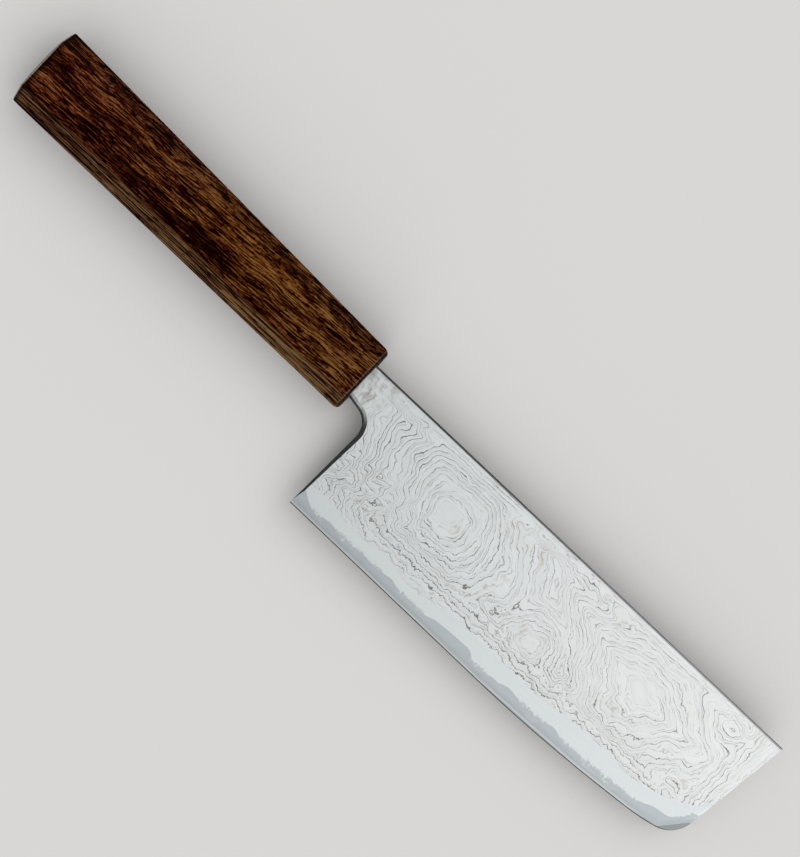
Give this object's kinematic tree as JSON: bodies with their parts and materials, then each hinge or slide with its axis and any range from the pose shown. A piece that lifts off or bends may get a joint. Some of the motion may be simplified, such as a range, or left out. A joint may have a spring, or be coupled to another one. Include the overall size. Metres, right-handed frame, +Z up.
{
  "type": "nakiri knife",
  "caption": "Lying kitchen knife with a tall, straight-edged, square-fronted vegetable blade of patterned layered steel and a tapering octagonal wooden handle.",
  "frame": {"origin": "under the middle of the knife's bounding box, at the height of the lowest handle flat", "axes": "the knife lies on its left side: +X from the handle towards the tip, +Y from the cutting edge towards the spine, +Z up through the blade's thickness"},
  "size_m": [0.3143, 0.0609, 0.022],
  "materials": {
    "core_steel": "satin, dark grey band along the edge",
    "plain_steel": "satin, pale plain band",
    "damascus_steel": "satin, forge-folded pattern of fine grey-beige lines",
    "tang_steel": "rough ground",
    "adhesive": "cured epoxy",
    "seal_resin": "dark resin",
    "burnt_wood": "burnt and lacquered, open pores, satin gloss"
  },
  "bodies": {
    "root": {"core_steel": "core_steel", "inner_layer_right": "plain_steel", "inner_layer_left": "plain_steel", "damascus_cladding_right": "damascus_steel", "damascus_cladding_left": "damascus_steel", "tang": "tang_steel", "tang_adhesive": "adhesive", "mouth_seal": "seal_resin", "handle": "burnt_wood"}
  },
  "joints": []
}
